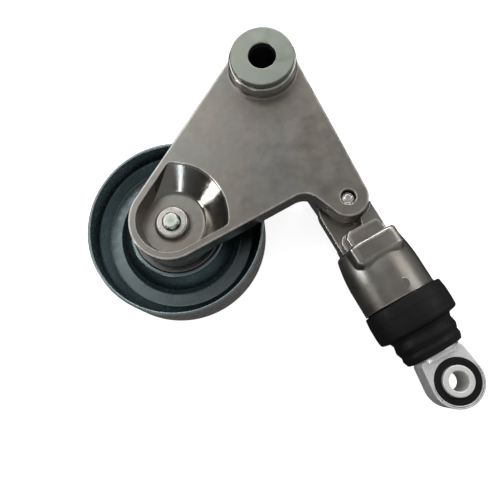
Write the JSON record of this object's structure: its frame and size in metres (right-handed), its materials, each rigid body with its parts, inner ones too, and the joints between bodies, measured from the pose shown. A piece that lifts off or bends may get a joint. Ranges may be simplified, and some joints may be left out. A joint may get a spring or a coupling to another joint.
{
  "type": "belt tensioner idler",
  "caption": "Triangular cast arm that swings on a bolt sleeve and carries a smooth idler pulley on a ball bearing, held against its belt by a hydraulic damper with a rubber boot.",
  "frame": {"origin": "on the pivot axis, in the plane of the rear mounting face", "axes": "+Z along the pivot axis towards the front disc, parallel to the pulley and eye axes; +X from the pulley side towards the damper side"},
  "size_m": [0.1698, 0.1635, 0.0464],
  "materials": {
    "die_cast_aluminium": "satin as-cast, tumbled edges",
    "bright_cast_aluminium": "bright satin",
    "zinc_plated_steel": "zinc plated, faintly green",
    "zinc_plated_sheet": "zinc plated, blue-green",
    "bearing_steel": "ground",
    "bush_bronze": "plain",
    "black_rubber": "matt",
    "spring_steel": "oiled",
    "cage_nylon": "plain"
  },
  "bodies": {
    "pivot": {"pivot_sleeve": "bearing_steel", "pivot_front_disc": "zinc_plated_steel", "pivot_rear_disc": "zinc_plated_steel"},
    "arm": {"arm_casting": "die_cast_aluminium", "pivot_bush_front": "bush_bronze", "pivot_bush_rear": "bush_bronze", "pivot_seal_front": "black_rubber", "pivot_seal_rear": "black_rubber", "pulley_bolt": "zinc_plated_steel", "bearing_spacer": "zinc_plated_steel", "dust_shield": "zinc_plated_steel", "bearing_inner_ring": "bearing_steel", "damper_pin": "bearing_steel"},
    "pulley": {"pulley_shell": "zinc_plated_sheet", "bearing_outer_ring": "bearing_steel", "bearing_seal_front": "black_rubber", "bearing_seal_rear": "black_rubber"},
    "ball_cage": {"bearing_cage": "cage_nylon", "bearing_ball_1": "bearing_steel", "bearing_ball_2": "bearing_steel", "bearing_ball_3": "bearing_steel", "bearing_ball_4": "bearing_steel", "bearing_ball_5": "bearing_steel", "bearing_ball_6": "bearing_steel", "bearing_ball_7": "bearing_steel", "bearing_ball_8": "bearing_steel"},
    "damper_cylinder": {"damper_housing": "die_cast_aluminium", "pin_bush": "bush_bronze", "pressure_sleeve": "bearing_steel", "valve_seat": "bearing_steel", "valve_cage": "bearing_steel", "valve_spring": "spring_steel", "return_spring": "spring_steel", "snap_ring": "spring_steel", "rubber_boot": "black_rubber"},
    "check_ball": {"check_ball": "bearing_steel"},
    "damper_rod": {"plunger": "bearing_steel", "plunger_seal": "black_rubber", "lower_eye": "bright_cast_aluminium", "eye_bush": "black_rubber"},
    "eye_sleeve": {"eye_sleeve": "zinc_plated_steel"}
  },
  "joints": [
    {"name": "arm_pivot", "type": "hinge", "parent": "pivot", "child": "arm", "pos_m": [0, 0, 0], "axis": [0, 0, 1], "range_deg": [-10.5, 0]},
    {"name": "pulley_spin", "type": "hinge", "parent": "arm", "child": "pulley", "pos_m": [-0.04025, -0.06955, 0.012], "axis": [0, 0, 1], "continuous": true},
    {"name": "cage_spin", "type": "hinge", "parent": "arm", "child": "ball_cage", "pos_m": [-0.04025, -0.06955, 0.012], "axis": [0, 0, 1], "continuous": true},
    {"name": "damper_swing", "type": "hinge", "parent": "arm", "child": "damper_cylinder", "pos_m": [0.03585, -0.06119, 0.0165], "axis": [0, 0, 1], "range_deg": [-50, 20]},
    {"name": "damper_slide", "type": "slide", "parent": "damper_cylinder", "child": "damper_rod", "axis": [-0.4878, 0.873, 0], "range_m": [0, 0.01], "stiffness_N_per_m": 20000, "springref_m": -0.005, "deforming": ["return_spring", "rubber_boot"]},
    {"name": "check_ball_lift", "type": "slide", "parent": "damper_cylinder", "child": "check_ball", "axis": [0.4878, -0.873, 0], "range_m": [0, 0.0006], "stiffness_N_per_m": 50, "deforming": ["valve_spring"]},
    {"name": "eye_sleeve_turn", "type": "hinge", "parent": "damper_rod", "child": "eye_sleeve", "pos_m": [0.07835, -0.13725, 0.0188], "axis": [0, 0, 1], "continuous": true}
  ],
  "couplings": [
    {"joint": "cage_spin", "follows": "pulley_spin", "ratio": 0.6154}
  ]
}
